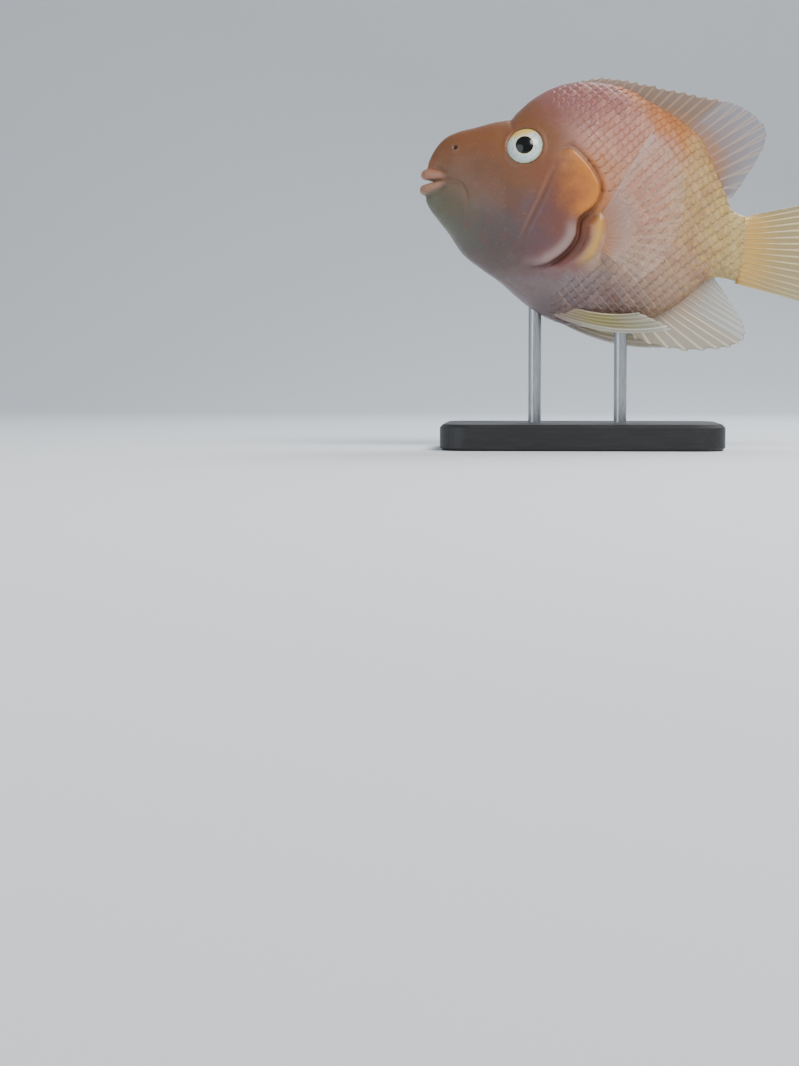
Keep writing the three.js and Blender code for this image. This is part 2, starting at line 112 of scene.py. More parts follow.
paper, shader = material_of("backdrop_paper")
shader.inputs["Base Color"].default_value = (0.78, 0.81, 0.84, 1)
shader.inputs["Roughness"].default_value = 0.8
bm = bmesh.new()
corners = [bm.verts.new((x, SHEET_FRONT, 0)) for x in (-SHEET_HALF_WIDE, SHEET_HALF_WIDE)]
edge = bm.edges.new(corners)
run = bmesh.ops.extrude_edge_only(bm, edges=[edge])["geom"]
bmesh.ops.translate(
    bm, verts=[v for v in run if isinstance(v, bmesh.types.BMVert)],
    vec=(0, SHEET_BACK - SHEET_FRONT, 0),
)
run = bmesh.ops.spin(
    bm, geom=[g for g in run if not isinstance(g, bmesh.types.BMFace)],
    cent=(0, SHEET_BACK, SHEET_CURVE), axis=(1, 0, 0), angle=math.pi / 2, steps=24,
)["geom_last"]
run = bmesh.ops.extrude_edge_only(
    bm, edges=[g for g in run if isinstance(g, bmesh.types.BMEdge)],
)["geom"]
bmesh.ops.translate(
    bm, verts=[v for v in run if isinstance(v, bmesh.types.BMVert)], vec=(0, 0, SHEET_HIGH),
)
bmesh.ops.recalc_face_normals(bm, faces=bm.faces)
backdrop = add_piece("backdrop", bm, paper)

world = bpy.data.worlds.new("room")
world.use_nodes = True
world.node_tree.nodes["Background"].inputs["Color"].default_value = (0.85, 0.92, 1.0, 1)
world.node_tree.nodes["Background"].inputs["Strength"].default_value = 0.4
bpy.context.scene.world = world

for name, at, size, watts, tint in (
    ("key_lamp", (0.5, -0.7, 1.0), 0.7, 17, (1.0, 0.98, 0.94)),
    ("fill_lamp", (-0.9, -0.8, 0.35), 0.9, 4, (0.9, 0.95, 1.0)),
    ("back_lamp", (0.35, 0.6, 0.85), 0.6, 9, (0.9, 0.95, 1.0)),
):
    light = bpy.data.lights.new(name, "AREA")
    light.shape = "DISK"
    light.size = size
    light.energy = watts
    light.color = tint
    lamp = bpy.data.objects.new(name, light)
    lamp.matrix_world = looking(Vector(at), FISH_MIDDLE)
    bpy.context.collection.objects.link(lamp)

# Skin of the head, body and tail stalk
# One moist skin over the whole fish, made round the solids' sections and drawn in a little at
# the tail end. The lips, the gill covers with their openings, the bony shoulder ridge and the
# nostrils are in it.

NOSE_UP = math.radians(5)
STAND_UNDER = 0.074
BASE_TOP = 0.012
BELLY_CLEARANCE = 0.045
LOWEST_BELLY = (0.077, -0.062)
BEND_FROM = 0.070
BEND = 0.9
UNDER_SCALES = 0.0003
RINGS = 330
ROUND = 288
HEAD_RINGS = 0.8
HEAD_SECTIONS = 14
DENSER_SIDES = 0.3

# at, back, belly, height of the widest line, half width, sharpness of the back and belly
SECTIONS = (
    (-0.0006, -0.0014, -0.0016, -0.0015, 0.0001, 1, 1),
    (0.0002, 0.0048, -0.0066, -0.0015, 0.0034, 0.9, 0.9),
    (0.0030, 0.0132, -0.0126, -0.0015, 0.0056, 0.9, 0.9),
    (0.0075, 0.0196, -0.0178, -0.0020, 0.0080, 0.85, 0.9),
    (0.0135, 0.0232, -0.0242, -0.0030, 0.0118, 0.8, 0.9),
    (0.0210, 0.0258, -0.0332, -0.0050, 0.0158, 0.8, 0.95),
    (0.0300, 0.0289, -0.0392, -0.0070, 0.0194, 0.8, 1),
    (0.0370, 0.0310, -0.0432, -0.0080, 0.0216, 0.85, 1),
    (0.0415, 0.0356, -0.0462, -0.0085, 0.0228, 0.95, 1),
    (0.0470, 0.0412, -0.0504, -0.0090, 0.0240, 1.05, 1),
    (0.0550, 0.0466, -0.0557, -0.0100, 0.0256, 1.15, 1),
    (0.0650, 0.0504, -0.0602, -0.0110, 0.0270, 1.2, 1),
    (0.0770, 0.0515, -0.0620, -0.0110, 0.0274, 1.25, 1),
    (0.0900, 0.0496, -0.0614, -0.0110, 0.0258, 1.25, 1),
    (0.1030, 0.0436, -0.0586, -0.0110, 0.0224, 1.2, 1),
    (0.1150, 0.0376, -0.0529, -0.0120, 0.0184, 1.15, 1),
    (0.1250, 0.0308, -0.0454, -0.0130, 0.0146, 1.1, 1),
    (0.1330, 0.0188, -0.0374, -0.0150, 0.0112, 1, 1),
    (0.1395, 0.0066, -0.0336, -0.0170, 0.0088, 0.95, 0.95),
    (0.1440, -0.0016, -0.0340, -0.0190, 0.0072, 0.9, 0.9),
    (0.1500, -0.0038, -0.0350, -0.0200, 0.0054, 0.85, 0.85),
    (0.1540, -0.0056, -0.0344, -0.0205, 0.0036, 0.8, 0.8),
    (0.1550, -0.0200, -0.0210, -0.0205, 0.0001, 1, 1),
)
# along, up, length, height, outwards
SWELLINGS = (
    (0.034, -0.014, 0.015, 0.016, 0.0013),
    (0.024, 0.010, 0.009, 0.008, -0.0007),
    (0.061, 0.030, 0.012, 0.010, 0.0008),
    (0.092, -0.034, 0.022, 0.016, 0.0008),
)


def between(table, t):
    """The values between the rows of a table, on a smooth curve, at t counted in rows."""
    rows = np.asarray(table, float)
    last = len(rows) - 1
    i = np.clip(np.floor(t).astype(int), 0, last - 1)
    f = np.asarray(t - i)[..., None]
    a, b, c, d = (rows[np.clip(i + k, 0, last)] for k in (-1, 0, 1, 2))
    return b + 0.5 * f * (c - a + f * (2 * a - 5 * b + 4 * c - d + f * (3 * (b - c) + d - a)))


def body_at(t, angle):
    """A place on the body's side: how far back, how high and how far from the midline."""
    section = np.moveaxis(between(SECTIONS, t), -1, 0)
    at, back, belly, waist, half, back_power, belly_power = section
    rise = np.cos(angle)
    out = np.abs(np.sin(angle))
    up = waist + rise * np.where(rise > 0, back - waist, waist - belly)
    wide = half * out ** np.where(rise > 0, back_power, belly_power)
    for along, height, long, high, swell in SWELLINGS:
        near = np.exp(-((at - along) / long) ** 2 - ((up - height) / high) ** 2)
        wide = wide + out * swell * near
    return at, up, wide


def on_stand(along, aside, up):
    """A place in the fish's own frame, moved to where the tilted, bent fish is on its stand."""
    aside = aside + BEND * np.maximum(0, along - BEND_FROM) ** 2
    lowest = -LOWEST_BELLY[0] * math.sin(NOSE_UP) + LOWEST_BELLY[1] * math.cos(NOSE_UP)
    x = along * math.cos(NOSE_UP) + up * math.sin(NOSE_UP) - STAND_UNDER * math.cos(NOSE_UP)
    z = up * math.cos(NOSE_UP) - along * math.sin(NOSE_UP) + BASE_TOP + BELLY_CLEARANCE - lowest
    return np.stack((x, aside, z), -1)


def beside(line, along, up):
    """How far places lie behind a smooth side-view line (ahead is less than 0), and how far
    down it, from 0 to 1."""
    path = between(line, np.linspace(0, len(line) - 1, 12 * (len(line) - 1)))
    nearest = np.full(along.shape, 1e3)
    side = np.zeros(along.shape)
    down = np.zeros(along.shape)
    for i, (start, end) in enumerate(zip(path[:-1], path[1:])):
        way = end - start
        fraction = ((along - start[0]) * way[0] + (up - start[1]) * way[1]) / (way @ way)
        fraction = np.clip(fraction, 0, 1)
        off_x = along - start[0] - fraction * way[0]
        off_z = up - start[1] - fraction * way[1]
        far = np.hypot(off_x, off_z)
        closer = far < nearest
        nearest = np.where(closer, far, nearest)
        side = np.where(closer, np.sign(way[0] * off_z - way[1] * off_x), side)
        down = np.where(closer, (i + fraction) / (len(path) - 1), down)
    return side * nearest, down


def ramp(value, low, high):
    """0 below low, 1 above high, and a soft slope between."""
    t = np.clip((value - low) / (high - low), 0, 1)
    return t * t * (3 - 2 * t)


def bump(value, width):
    """1 at a value of 0, and falling away softly on both sides."""
    return np.exp(-(value / width) ** 2)


CHEEK_EDGE = (
    (0.0610, 0.0150), (0.0585, 0.0050), (0.0540, -0.0080), (0.0485, -0.0230), (0.0455, -0.0353),
)
COVER_RIM = (
    (0.0603, 0.0141), (0.0665, 0.0178), (0.0735, 0.0129), (0.0792, 0.0060), (0.0815, 0.0),
    (0.0794, -0.0072), (0.0732, -0.0136), (0.0720, -0.0228), (0.0668, -0.0304),
    (0.0580, -0.0360), (0.0455, -0.0365),
)
SHOULDER_RIDGE = (
    (0.0788, -0.0060), (0.0821, -0.0113), (0.0827, -0.0182), (0.0815, -0.0252),
    (0.0782, -0.0310), (0.0725, -0.0350),
)
JAW_FOLD = (
    (0.0102, 0.0004), (0.0179, -0.0017), (0.0213, -0.0088), (0.0212, -0.0189), (0.0172, -0.0313),
)
NAPE_FOLD = ((0.0374, 0.0330), (0.0385, 0.0270), (0.0420, 0.0235))
CHEEK_LIFT = 0.0008
CHEEK_PLATE_LONG = 0.0060
COVER_LIFT = 0.0014
COVER_DROP = 0.0012
RIDGE_LIFT = 0.0014
RIDGE_HALF_WIDE = 0.0021
OPENING_DEEP = 0.0024
JAW_FOLD_DEEP = 0.0003
NAPE_FOLD_DEEP = 0.0006
EYE = (0.0455, 0.0178)
EYE_RADIUS = 0.0092
EYE_RIM_LIFT = 0.00035
EYE_SEAT = 0.0083
SOCKET_DEEP = 0.0035
NOSTRIL = (0.0131, 0.0155)
NOSTRIL_RADIUS = 0.0012
NOSTRIL_DEEP = 0.0012
NOSTRIL_RIM_LIFT = 0.00025
MOUTH_FRONT_UP = -0.0013
MOUTH_CORNER = (0.0102, 0.0004)
MOUTH_HALF_WIDE = 0.0062
MOUTH_HALF_HIGH = 0.0015
MOUTH_DEEP = 0.005
MOUTH_LINE_DEEP = 0.0008
LIPS_END = (0.0065, 0.0110)
LIPS_HALF_WIDE = 0.0088
LIP_HALF_HIGH = 0.0029
LIP_PROUD = 0.0017
LIP_GROOVE_DEEP = 0.0004


def cheek_and_gill_cover(along, up):
    """The cheek's raised plate, the gill cover's rim, the opening behind it and the shoulder
    ridge: how far they stand out, and masks for their colours, for a painted highlight on the
    cheek's edge and for painted shade in the opening and creases."""
    cheek, down = beside(CHEEK_EDGE, along, up)
    ends = ramp(down, 0.05, 0.45) * ramp(1 - down, 0.10, 0.45)
    plate = bump(np.minimum(cheek + 0.0004, 0), CHEEK_PLATE_LONG) * ramp(-cheek, -0.0005, 0.0003)
    out = CHEEK_LIFT * ends * (plate - bump(cheek - 0.0010, 0.0013))

    rim, down = beside(COVER_RIM, along, up)
    fade = ramp(down, 0.02, 0.14) * ramp(1 - down, 0.02, 0.16)
    inside = ramp(-rim, -0.0005, 0.0003)
    drop = fade * bump(rim - 0.0010, 0.0011) * (1 - inside)
    out += COVER_LIFT * fade * bump(rim + 0.0008, 0.0034) * inside - COVER_DROP * drop

    shoulder, low = beside(SHOULDER_RIDGE, along, up)
    ridge = ramp(low, 0.06, 0.35) * ramp(1 - low, 0.0, 0.3) * bump(shoulder, RIDGE_HALF_WIDE)
    opening = ramp(rim, -0.0002, 0.0007) * ramp(-rim, -0.0080, -0.0035)
    opening *= ramp(-up, 0.0060, 0.0130) * ramp(up, -0.0385, -0.0300) * ramp(along, 0.058, 0.066)
    out += RIDGE_LIFT * ridge - OPENING_DEEP * opening * (1 - ridge)

    edge = fade * bump(rim + 0.0020, 0.0026) * inside
    # Painted shade for the gill opening, the skin just under the cover's edge and the crease
    # behind the cheek plate.
    hollow = opening + 0.7 * drop + 0.7 * ends * bump(cheek - 0.0008, 0.0010)
    return out, {
        "amber": edge * ramp(up, -0.016, -0.006),
        "pale_rim": 0.8 * edge * ramp(-up, 0.012, 0.020),
        "ridge": ridge,
        "hollow": np.clip(hollow, 0, 1),
        # A painted highlight along the cheek plate's raised edge.
        "cheek_edge": ends * bump(cheek + 0.0006, 0.0010),
    }


def lips_and_mouth(along, up, wide):
    """Two thick lips round the end of the snout: how far they stand out, how far the mouth is
    open between them, and a mask for their colour."""
    corner = np.clip(along / MOUTH_CORNER[0], 0, 1)
    above = up - (MOUTH_FRONT_UP + (MOUTH_CORNER[1] - MOUTH_FRONT_UP) * corner)
    ahead = 1 - ramp(along, *LIPS_END)
    sweep = np.clip(wide / LIPS_HALF_WIDE, 0, 1)
    from_line = np.abs(above) - 0.0004 - 0.0012 * (1 - sweep ** 2)
    lip_half = LIP_HALF_HIGH * (1 - 0.5 * corner ** 2)
    roll = np.maximum(1 - ((from_line - 0.7 * lip_half) / lip_half) ** 2, 0)
    out = LIP_PROUD * ahead * (1 - 0.5 * sweep) * ramp(roll, 0.0, 1.1)
    out -= LIP_GROOVE_DEEP * ahead * bump(from_line - 1.9 * lip_half, 0.0012)
    out -= MOUTH_LINE_DEEP * ahead * bump(above, 0.0007) * ramp(wide, 0.004, 0.006)
    slot = np.hypot(wide / MOUTH_HALF_WIDE, above / MOUTH_HALF_HIGH)
    return out, ahead * ramp(1.15 - slot, 0.0, 0.75), ahead * ramp(roll, 0.0, 0.9)


def head_relief(along, up, wide):
    """How far the skin stands out over the plain body, how far the mouth is open, and masks
    for the skin's colours, painted highlight and painted shade."""
    out, masks = cheek_and_gill_cover(along, up)

    fold, down = beside(JAW_FOLD, along, up)
    out -= JAW_FOLD_DEEP * bump(fold, 0.0010) * ramp(1 - down, 0.2, 0.8)
    fold, down = beside(NAPE_FOLD, along, up)
    out -= NAPE_FOLD_DEEP * bump(fold, 0.0012) * ramp(1 - down, 0.0, 0.7)

    eye = np.hypot(along - EYE[0], up - EYE[1])
    out += EYE_RIM_LIFT * bump(eye - EYE_RADIUS, 0.0009)
    out -= SOCKET_DEEP * ramp(EYE_SEAT - eye, 0.0, 0.0008)
    pit = np.hypot(along - NOSTRIL[0], up - NOSTRIL[1])
    out += NOSTRIL_RIM_LIFT * bump(pit - 0.0015, 0.0005)
    out -= NOSTRIL_DEEP * ramp(NOSTRIL_RADIUS - pit, 0.0, 0.0005)

    lips_out, gape, masks["lips"] = lips_and_mouth(along, up, wide)
    # This mask also marks where near-black painted shade goes, inside the open mouth and the
    # nostril pits.
    masks["mouth"] = np.maximum(gape, ramp(0.0011 - pit, 0.0, 0.0004))
    return out + lips_out, gape, masks


def colour(hex_code):
    """A colour as it looks on a screen, for a material."""
    parts = [int(hex_code[i:i + 2], 16) / 255 for i in (0, 2, 4)]
    return (*(p / 12.92 if p <= 0.04045 else ((p + 0.055) / 1.055) ** 2.4 for p in parts), 1)


class Wire:
    """An output of a material's nodes. Arithmetic on it adds Math nodes."""

    def __init__(self, socket):
        self.socket = socket

    def node(self, kind, settings=(), values=(), output=0):
        return add_node(self.socket.id_data, kind, settings, values, output)

    def maths(self, operation, *values):
        return self.node("ShaderNodeMath", {"operation": operation}, dict(enumerate(values)))

    def __add__(self, other):
        return self.maths("ADD", self, other)

    def __sub__(self, other):
        return self.maths("SUBTRACT", self, other)

    def __rsub__(self, other):
        return self.maths("SUBTRACT", other, self)

    def __mul__(self, other):
        return self.maths("MULTIPLY", self, other)

    __radd__ = __add__
    __rmul__ = __mul__

    def ramp(self, low, high):
        """0 below low, 1 above high, and a soft slope between."""
        return self.node(
            "ShaderNodeMapRange", {"interpolation_type": "SMOOTHSTEP"},
            {"Value": self, "From Min": low, "From Max": high},
        )

    def blend(self, other, amount):
        """This colour with another over it, by an amount from 0 to 1."""
        return self.node(
            "ShaderNodeMix", {"data_type": "RGBA", "clamp_factor": True},
            {0: amount, 6: self, 7: other}, 2,
        )


def add_node(tree, kind, settings=(), values=(), output=0):
    """A node of a kind, with its settings and then its sockets' values or wires."""
    made = tree.nodes.new(kind)
    for name, value in dict(settings).items():
        setattr(made, name, value)
    for name, value in dict(values).items():
        if isinstance(value, Wire):
            tree.links.new(value.socket, made.inputs[name])
        else:
            made.inputs[name].default_value = value
    return Wire(made.outputs[output])


def plug(shader, name, wire):
    shader.id_data.links.new(wire.socket, shader.inputs[name])


def roughen(shader, height, strength, depth):
    """Gives a surface a fine grain that is too small to model."""
    settings = {"Strength": strength, "Distance": depth, "Height": height}
    plug(shader, "Normal", height.node("ShaderNodeBump", (), settings))


def attribute(tree, name):
    return add_node(tree, "ShaderNodeAttribute", {"attribute_name": name}, output=2)


def fish_place(tree):
    """Places in the fish's own frame, from the snout, for a pattern that lies on the body."""
    place = add_node(tree, "ShaderNodeTexCoord", output=3)
    snout = on_stand(np.array(0.0), np.array(0.0), np.array(0.0))
    return place.node(
        "ShaderNodeMapping", {"vector_type": "TEXTURE"},
        {"Vector": place, "Location": tuple(snout), "Rotation": (0, NOSE_UP, 0)},
    )


def noise(place, scale, detail=3.0, rough=0.55, output=0):
    return place.node(
        "ShaderNodeTexNoise", (),
        {"Vector": place, "Scale": scale, "Detail": detail, "Roughness": rough}, output,
    )


def vectors(operation, first, second):
    return first.node("ShaderNodeVectorMath", {"operation": operation}, {0: first, 1: second})


# The grey-green throat, chin and lower belly patches are the fish's own colours, darkened further
# as painted shade of the underside.
# along, up, half length, half height, turn in degrees, softness, strength, colour
MARKINGS = (
    (0.070, 0.046, 0.042, 0.026, 0, 1.0, 0.85, "7e4850"),
    (0.098, 0.008, 0.036, 0.032, 0, 0.8, 0.5, "bc7c64"),
    (0.112, 0.037, 0.040, 0.008, 38, 1.0, 0.8, "b46a2a"),
    (0.133, 0.008, 0.016, 0.034, 12, 0.9, 0.8, "b09464"),
    (0.152, -0.020, 0.018, 0.030, 0, 0.7, 0.9, "bca66c"),
    (0.105, -0.040, 0.030, 0.020, 20, 0.9, 0.6, "b0947e"),
    (0.062, -0.052, 0.042, 0.018, -8, 0.9, 0.85, "746a70"),
    (0.020, 0.004, 0.050, 0.046, 0, 0.5, 1.0, "704628"),
    (0.060, -0.021, 0.018, 0.018, -30, 0.9, 0.95, "66343a"),
    (0.030, 0.024, 0.030, 0.010, 12, 0.9, 0.6, "7a4a26"),
    (0.028, -0.006, 0.018, 0.016, 20, 1.2, 0.6, "5c3a26"),
    (0.0755, -0.001, 0.012, 0.016, -18, 1.0, 0.85, "b0661a"),
    (0.062, -0.004, 0.010, 0.022, -20, 1.0, 0.6, "764028"),
    (0.028, -0.034, 0.036, 0.018, -38, 1.1, 0.85, "4a4244"),
    (0.000, -0.020, 0.022, 0.020, 20, 1.5, 0.85, "4e5c4c"),
    (0.000, 0.003, 0.006, 0.006, 0, 0.8, 0.6, "985a3c"),
)
FLANK = "a8806a"
DRIFT = 0.018
# scale, detail, roughness, from, to, strength, colour
MOTTLES = (
    (140.0, 3.0, 0.6, 0.48, 0.72, 0.3, "6e3c28"),
    (420.0, 4.0, 0.6, 0.5, 0.8, 0.3, "7c3c20"),
    (700.0, 3.0, 0.55, 0.55, 0.8, 0.12, "d09a68"),
)
# The darkest tint is painted shade in the gill opening, under the cover's edge and behind the
# cheek plate; the cheek-edge tint is a painted highlight along that plate's raised edge.
# mask of the skin, colour, strength
SKIN_TINTS = (
    ("amber", "cc7c18", 0.6),
    ("pale_rim", "b4a098", 0.6),
    ("ridge", "c8983c", 0.8),
    ("cheek_edge", "b07c5c", 0.2),
    ("lips", "a8745c", 0.7),
    ("hollow", "542a16", 0.68),
)
MOUTH_SHADE = "2a100c"


def fish_colour(tree, place):
    """The colours that lie over the whole fish, in soft patches that run into each other; those of
    the throat, chin and lower belly also carry painted shade.
    """
    drift = vectors("SUBTRACT", noise(place, 110.0, 4.0, 0.6, 1), (0.5, 0.5, 0.5))
    drift = vectors("MULTIPLY", drift, (DRIFT, DRIFT, DRIFT))
    place = vectors("ADD", place, drift)
    skin = add_node(tree, "ShaderNodeRGB")
    skin.socket.default_value = colour(FLANK)
    for along, up, long, high, turn, soft, strength, patch in MARKINGS:
        spot = place.node(
            "ShaderNodeMapping", {"vector_type": "TEXTURE"},
            {"Vector": place, "Location": (along, 0, up), "Rotation": (0, math.radians(turn), 0),
             "Scale": (long, 1000, high)},
        )
        reach = spot.node("ShaderNodeVectorMath", {"operation": "LENGTH"}, {0: spot}, 1)
        skin = skin.blend(colour(patch), strength * (1 - reach.ramp(1 - soft / 2, 1 + soft / 2)))
    for scale, detail, rough, low, high, strength, mottle in MOTTLES:
        cover = strength * noise(place, scale, detail, rough).ramp(low, high)
        skin = skin.blend(colour(mottle), cover)
    return skin


skin_material, shader = material_of("moist_fish_skin")
tree = skin_material.node_tree
place = fish_place(tree)
skin = fish_colour(tree, place)
for mask, tint, strength in SKIN_TINTS:
    skin = skin.blend(colour(tint), strength * attribute(tree, mask))
# Near-black painted shade inside the open mouth and the nostril pits.
skin = skin.blend(colour(MOUTH_SHADE), attribute(tree, "mouth").ramp(0.3, 0.9))
plug(shader, "Base Color", skin)
plug(shader, "Roughness", 0.38 + 0.2 * noise(place, 300.0))
grain = noise(place, 1500.0, 3.0) + 0.6 * noise(place, 500.0, 2.0)
roughen(shader, grain, 0.4, 0.0003)
shader.inputs["Subsurface Weight"].default_value = 0.12
shader.inputs["Subsurface Radius"].default_value = (1.0, 0.5, 0.25)
shader.inputs["Subsurface Scale"].default_value = 0.002
shader.inputs["Coat Weight"].default_value = 0.2
shader.inputs["Coat Roughness"].default_value = 0.15

bm = bmesh.new()
bmesh.ops.create_uvsphere(bm, u_segments=ROUND, v_segments=RINGS, radius=1)
ball = np.array([v.co for v in bm.verts])
ring = np.arccos(np.clip(ball[:, 2], -1, 1)) / math.pi
t = np.interp(ring, (0, HEAD_RINGS, 1), (0, HEAD_SECTIONS, len(SECTIONS) - 1))
angle = np.arctan2(np.abs(ball[:, 0]), ball[:, 1])
angle = angle + DENSER_SIDES * np.sin(2 * angle) / 2
side = np.sign(np.where(np.abs(ball[:, 0]) < 1e-9, 0, ball[:, 0]))
along, up, wide = body_at(t, angle)
wide = np.where(side == 0, 0, wide)
for vert, spot in zip(bm.verts, on_stand(along, side * wide, up)):
    vert.co = spot
bmesh.ops.recalc_face_normals(bm, faces=bm.faces)
bm.normal_update()
out, gape, masks = head_relief(along, up, wide)
out -= UNDER_SCALES * ramp(along, 0.05, 0.09)
layers = [(bm.verts.layers.float.new(name), mask.tolist()) for name, mask in masks.items()]
for i, vert in enumerate(bm.verts):
    vert.co += float(out[i]) * vert.normal
    vert.co.x += MOUTH_DEEP * float(gape[i])
    for layer, mask in layers:
        vert[layer] = mask[i]
fish_skin = add_piece("fish_skin", bm, skin_material)
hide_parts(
    "head", "lower_jaw", "gill_cover_left", "gill_cover_right", "trunk", "tail_stalk",
)
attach(fish_skin, "root")

# Eyes
# A round eyeball each side, white with a little yellow above, a black pupil and a lightly
# glossy front. It is fixed in a socket with a low fleshy rim and has no lids.

EYE_STEPS = 128
EYE_HALF_DEEP = 0.0065
EYE_SUNK = 0.003
PUPIL = 0.0041
IRIS = 0.0080
PUPIL_AHEAD = 0.0003


def half_width(along, up):
    """How far the plain body's side is from the midline at a side-view place."""
    t = np.linspace(0, len(SECTIONS) - 1, 2000)
    t = np.interp(along, between(SECTIONS, t)[:, 0], t)
    back, belly, waist = between(SECTIONS, t)[..., 1:4].T
    rise = np.where(up > waist, (up - waist) / (back - waist), (up - waist) / (waist - belly))
    return body_at(t, np.arccos(np.clip(rise, -1, 1)))[2]


def skin_spot(along, up, side):
    """A place on the skin, and which way the skin faces there."""
    step = 0.001
    here, back, over = (
        Vector(on_stand(np.array(a), side * half_width(np.array(a), np.array(b)), np.array(b)))
        for a, b in ((along, up), (along + step, up), (along, up + step))
    )
    facing = (back - here).cross(over - here).normalized()
    return here, (facing if facing.y * side > 0 else -facing)


eye_material, shader = material_of("fish_eye")
tree = eye_material.node_tree
from_middle = attribute(tree, "from_middle")
above = attribute(tree, "above_middle")
place = add_node(tree, "ShaderNodeTexCoord", output=3)
iris = add_node(tree, "ShaderNodeRGB")
iris.socket.default_value = colour("c9d6d6")
cloud = noise(place, 700.0, 4.0)
iris = iris.blend(colour("8fa3a8"), 0.7 * cloud.ramp(0.45, 0.7))
iris = iris.blend(colour("eef4ee"), 0.6 * noise(place, 1600.0, 2.0).ramp(0.55, 0.7))
top = (above + 0.0015 * (cloud - 0.5)).ramp(0.0032, 0.0062)
iris = iris.blend(colour("d9b02e"), 0.9 * top)
iris = iris.blend(colour("a8b468"), 0.35 * from_middle.ramp(0.0066, 0.0076))
iris = iris.blend(colour("e9d9a0"), 0.7 * (1 - (from_middle - (PUPIL + 0.0002)).ramp(0.0, 0.0005)))
iris = iris.blend(colour("050506"), 1 - from_middle.ramp(PUPIL - 0.0001, PUPIL + 0.0001))
# A dark ring of painted socket shade round the iris, which also covers the eyeball's back.
iris = iris.blend(colour("2a1a12"), from_middle.ramp(IRIS, IRIS + 0.0004))
plug(shader, "Base Color", iris)
plug(shader, "Roughness", 0.12 + 0.15 * cloud)
shader.inputs["Specular IOR Level"].default_value = 0.3
shader.inputs["Coat Weight"].default_value = 0.35
shader.inputs["Coat Roughness"].default_value = 0.03

for name, side in (("eye_left", -1), ("eye_right", 1)):
    here, facing = skin_spot(EYE[0], EYE[1], side)
    turn = facing.to_track_quat("Z", "Y").to_matrix().to_4x4()
    ball = Matrix.Diagonal((EYE_RADIUS, EYE_RADIUS, EYE_HALF_DEEP, 1))
    bm = bmesh.new()
    bmesh.ops.create_uvsphere(bm, u_segments=EYE_STEPS, v_segments=EYE_STEPS, radius=1)
    from_middle = bm.verts.layers.float.new("from_middle")
    above_middle = bm.verts.layers.float.new("above_middle")
    bmesh.ops.transform(
        bm, verts=bm.verts, matrix=Matrix.Translation(here - EYE_SUNK * facing) @ turn @ ball,
    )
    for vert in bm.verts:
        from_here = vert.co - here
        reach = math.hypot(from_here.x, from_here.z)
        front = side * from_here.y > -EYE_HALF_DEEP
        vert[from_middle] = reach if front else EYE_RADIUS
        vert[above_middle] = from_here.z - 0.25 * from_here.x
        if front:
            vert.co.y += side * PUPIL_AHEAD * math.exp(-(reach / PUPIL) ** 2)
    eye = add_piece(name + "_ball", bm, eye_material)
    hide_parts(name)
    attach(eye, "root")

# Scales
# Thin rounded plates in rows from the nape and shoulder to the tail, each over the front of
# the next one behind. They stand slightly out of the skin, and their hind edges catch light.

SCALE_PITCH = 0.0048
ROW_PITCH = 0.0027
SCALE_LONG = 0.0063
SCALE_HIGH = 0.0060
SCALE_THICK = 0.00009
SCALE_LIFT = 0.00008
SCALE_FADE = 0.024
SCALE_GRID = 4
SCALES_BEHIND = (
    (0.0385, 0.0400), (0.0450, 0.0310), (0.0560, 0.0265), (0.0680, 0.0215), (0.0780, 0.0140),
    (0.0840, 0.0030), (0.0845, -0.0100), (0.0855, -0.0200), (0.0830, -0.0300),
    (0.0740, -0.0385), (0.0560, -0.0430), (0.0480, -0.0600),
)
FIRST_SCALE = 0.034
LAST_SCALE = 0.1495
SCALES_IN_ROW = 26
ROWS_EACH_WAY = 29
EDGE_MARGIN = 0.002
ROOT_SUNK = 0.00045
FRONT_SUNK = 0.00016
SCALE_BULGE = 0.00007
SCALE_JITTER = 0.0002
ROOT_AHEAD = 0.3
TIP_ROUNDING = 0.42
FLANK_RINGS = 600
FLANK_TURNS = 241
PATCH = 0.003
COAT_FROM = 0.03
COAT_LONG = 0.13
COAT_HALF_ROUND = 0.08

rings = np.linspace(6.5, len(SECTIONS) - 1.05, FLANK_RINGS)
turns = np.linspace(0, math.pi, FLANK_TURNS)
grid_t, grid_turn = np.meshgrid(rings, turns, indexing="ij")
grid_along, grid_up, grid_wide = body_at(grid_t, grid_turn)
ring_along = grid_along[:, 0]
steps = np.hypot(np.diff(grid_up, axis=1), np.diff(grid_wide, axis=1))
arcs = np.concatenate((np.zeros((len(rings), 1)), np.cumsum(steps, axis=1)), axis=1)
arcs = np.array([arc - np.interp(math.pi / 2, turns, arc) for arc in arcs])


def on_flank(along, arc, side):
    """A place on the body at a distance behind the snout, so far round from the widest line,
    upwards less than 0. Also its height in the fish's own frame."""
    row = np.interp(along, ring_along, np.arange(len(rings)))
    low = np.clip(np.floor(row).astype(int), 0, len(rings) - 2)
    f = row - low
    up = np.empty(along.shape)
    wide = np.empty(along.shape)
    for k in np.unique(low):
        here = low == k
        for values, found in ((grid_up, up), (grid_wide, wide)):
            near = np.interp(arc[here], arcs[k], values[k])
            far = np.interp(arc[here], arcs[k + 1], values[k + 1])
            found[here] = near + f[here] * (far - near)
    return on_stand(along, side * wide, up), up


